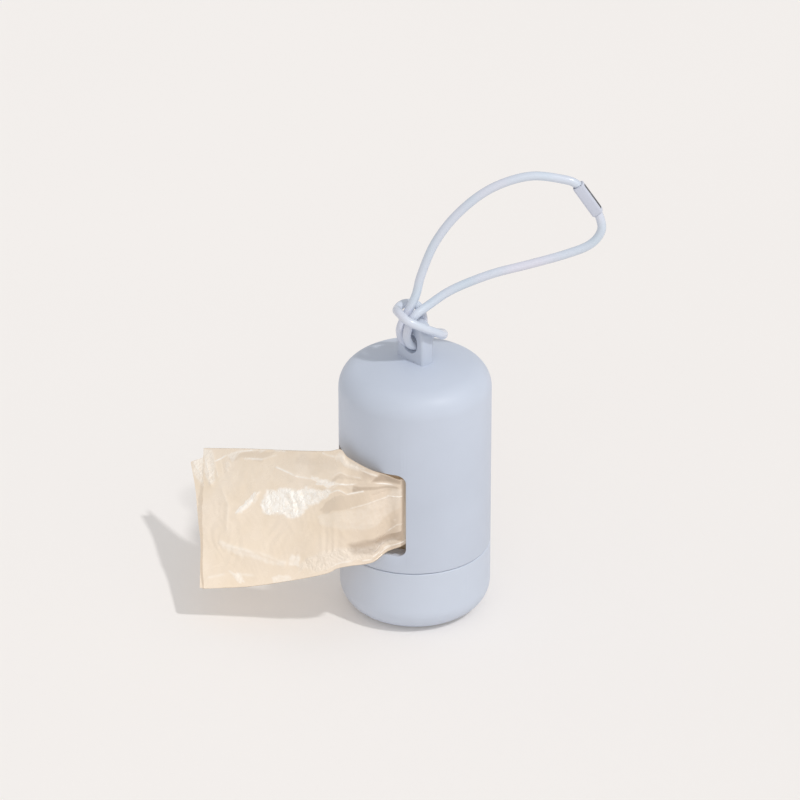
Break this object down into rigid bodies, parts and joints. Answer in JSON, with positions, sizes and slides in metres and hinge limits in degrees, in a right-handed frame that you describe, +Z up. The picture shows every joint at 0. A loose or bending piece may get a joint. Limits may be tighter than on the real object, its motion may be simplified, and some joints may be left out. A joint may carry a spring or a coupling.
{
  "type": "dog poop bag dispenser",
  "caption": "Pocket dispenser for a roll of dog waste bags: a domed casing with a window, a screw-on base cap, a bag roll on a post, a pulled bag and a looped wrist cord.",
  "frame": {"origin": "middle of the flat face under the cap, on the barrel's axis", "axes": "+Z up along the barrel's axis towards the dome; the window faces -Y; +X is to the right of someone who looks at the window"},
  "size_m": [0.11, 0.097, 0.1419],
  "materials": {
    "shell_plastic": "satin moulded plastic, pale grey-blue",
    "cap_plastic": "satin moulded plastic, a shade lighter than the casing",
    "thread_plastic": "plain moulded plastic",
    "post_plastic": "plain moulded plastic",
    "core_cardboard": "wound grey-brown board",
    "bag_film": "thin crinkled film, cream",
    "cord_plastic": "smooth glossy cord, very pale blue",
    "ferrule_metal": "crimped tube",
    "sleeve_plastic": "smooth moulded plastic, pale blue",
    "strip_plastic": "dark grey inlay"
  },
  "bodies": {
    "casing": {"casing": "shell_plastic", "hanger_tab": "shell_plastic", "neck_ring": "thread_plastic"},
    "post": {"roll_post": "post_plastic"},
    "cap": {"base_cap": "cap_plastic", "cap_thread_ring": "thread_plastic"},
    "roll": {"roll_core": "core_cardboard", "bag_roll": "bag_film"},
    "bag": {"pulled_bag": "bag_film"},
    "cord": {"wrist_cord": "cord_plastic", "crimp_ferrule": "ferrule_metal", "cord_sleeve": "sleeve_plastic", "sleeve_strip": "strip_plastic"}
  },
  "joints": [
    {"name": "cap_travel", "type": "slide", "parent": "casing", "child": "post", "axis": [0, 0, -1], "range_m": [0, 0.0063]},
    {"name": "cap_turn", "type": "hinge", "parent": "post", "child": "cap", "pos_m": [0, 0, 0], "axis": [0, 0, -1], "range_deg": [0, 648]},
    {"name": "roll_spin", "type": "hinge", "parent": "post", "child": "roll", "pos_m": [0, 0, 0.0409], "axis": [0, 0, -1], "range_deg": [0, 224.5]},
    {"name": "bag_pull", "type": "slide", "parent": "casing", "child": "bag", "axis": [-0.342, -0.9397, 0], "range_m": [0, 0.06]},
    {"name": "cord_swing", "type": "hinge", "parent": "casing", "child": "cord", "pos_m": [0, 0, 0.0923], "axis": [1, 0, 0], "range_deg": [-20, 60]}
  ],
  "couplings": [
    {"joint": "cap_travel", "follows": "cap_turn", "m_per_rad": 0.00055704},
    {"joint": "bag_pull", "follows": "roll_spin", "m_per_rad": 0.0153}
  ]
}
